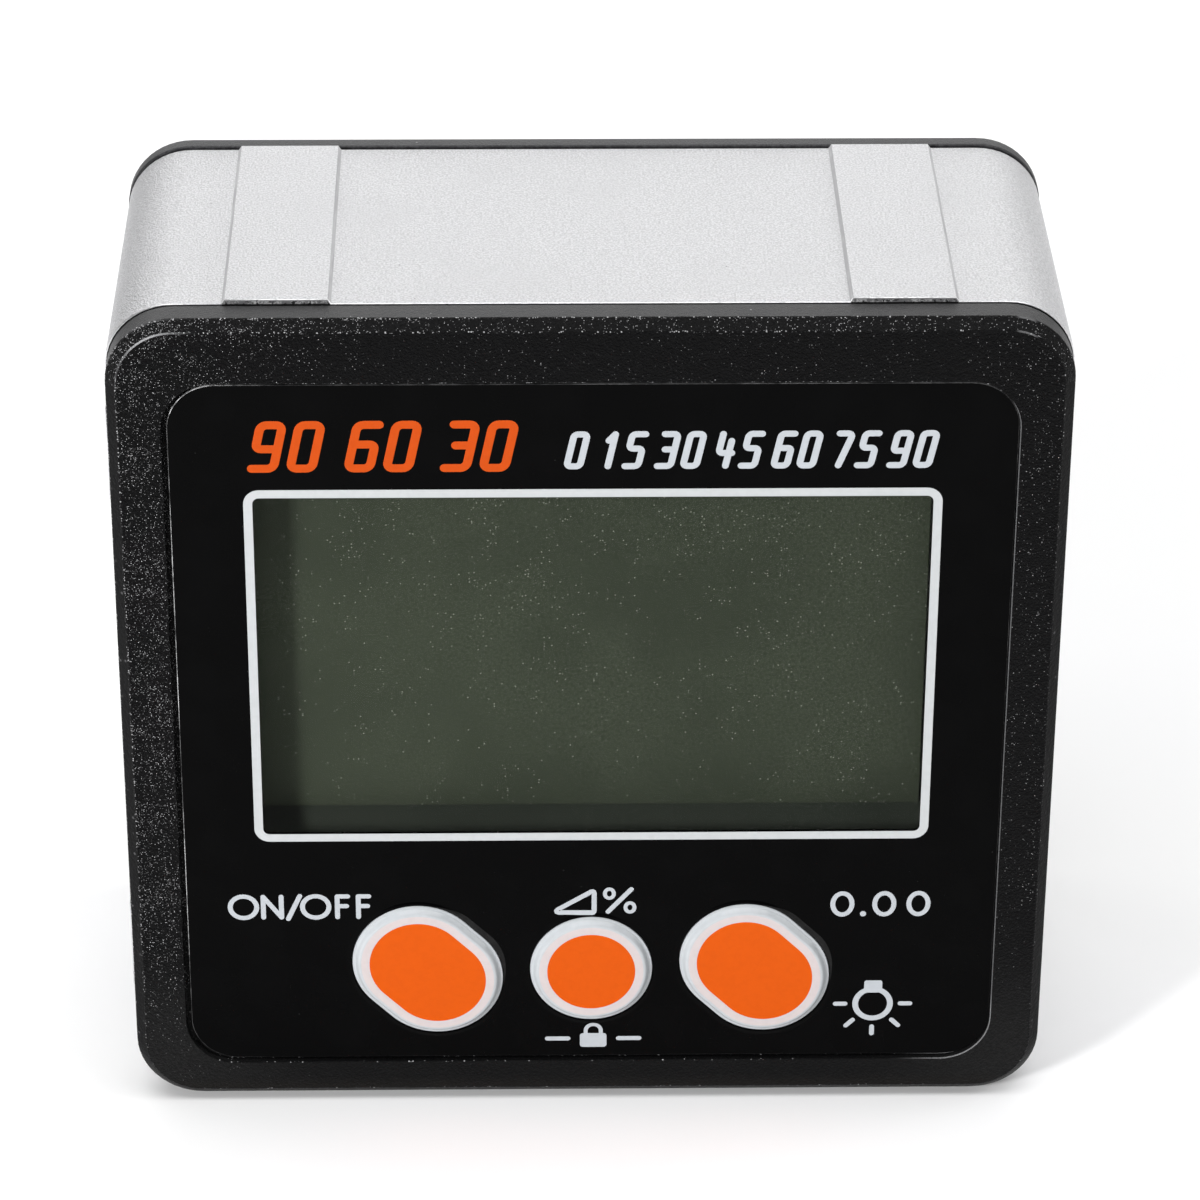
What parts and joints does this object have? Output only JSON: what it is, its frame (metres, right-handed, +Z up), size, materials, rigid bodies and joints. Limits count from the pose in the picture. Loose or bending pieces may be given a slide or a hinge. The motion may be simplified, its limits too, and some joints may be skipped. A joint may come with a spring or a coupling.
{
  "type": "digital angle gauge",
  "caption": "Square digital angle gauge: aluminium sleeve with raised reference pads and base magnets, black front bezel with screen and pressed keys, rear cover with battery door.",
  "frame": {"origin": "middle of the footprint, on the plane of the lower reference pads", "axes": "+X to the right seen from the front, +Y towards the back, +Z up"},
  "size_m": [0.0616, 0.0288, 0.059],
  "materials": {
    "aluminium": "fine bead-blasted, satin anodised",
    "case_plastic": "fine spark-textured black moulding",
    "film": "gloss film, printed from behind",
    "key_film": "gloss film, pressed up, white rim round an orange centre",
    "switch": "moulded",
    "screen": "reflective liquid crystal panel behind a polariser",
    "light_guide": "milky",
    "led": "clear yellow",
    "elastomer": "layered conductive rubber",
    "board": "green solder mask",
    "chip": "moulded epoxy",
    "steel": "plated",
    "nickel": "nickel plated",
    "capacitor": "sleeved",
    "cell": "plain printed jacket",
    "wire_red": "insulated",
    "wire_black": "insulated"
  },
  "bodies": {
    "case": {"housing_frame": "aluminium", "front_bezel": "case_plastic", "rear_cover": "case_plastic", "face_overlay": "film", "switch_bodies": "switch", "lcd_panel": "screen", "light_guide": "light_guide", "backlight_leds": "led", "zebra_strip": "elastomer", "main_board": "board", "controller_chip": "chip", "tilt_sensor": "chip", "crystal": "steel", "capacitors": "capacitor", "battery_upper": "cell", "battery_lower": "cell", "positive_contact": "nickel", "negative_contact": "nickel", "bridge_contact": "nickel", "contact_springs": "nickel", "red_lead": "wire_red", "black_lead": "wire_black", "base_magnets": "nickel", "cover_screws": "steel", "board_screws": "steel"},
    "power_key": {"key_power": "key_film", "plunger_power": "switch"},
    "hold_key": {"key_hold": "key_film", "plunger_hold": "switch"},
    "zero_key": {"key_zero": "key_film", "plunger_zero": "switch"},
    "door": {"battery_door": "case_plastic"}
  },
  "joints": [
    {"name": "power_key_press", "type": "slide", "parent": "case", "child": "power_key", "axis": [0, 1, 0], "range_m": [0, 0.0003], "stiffness_N_per_m": 5000},
    {"name": "hold_key_press", "type": "slide", "parent": "case", "child": "hold_key", "axis": [0, 1, 0], "range_m": [0, 0.0003], "stiffness_N_per_m": 5000},
    {"name": "zero_key_press", "type": "slide", "parent": "case", "child": "zero_key", "axis": [0, 1, 0], "range_m": [0, 0.0003], "stiffness_N_per_m": 5000},
    {"name": "door_swing", "type": "hinge", "parent": "case", "child": "door", "pos_m": [0, 0.01438, 0.0423], "axis": [1, 0, 0], "range_deg": [0, 70]}
  ]
}
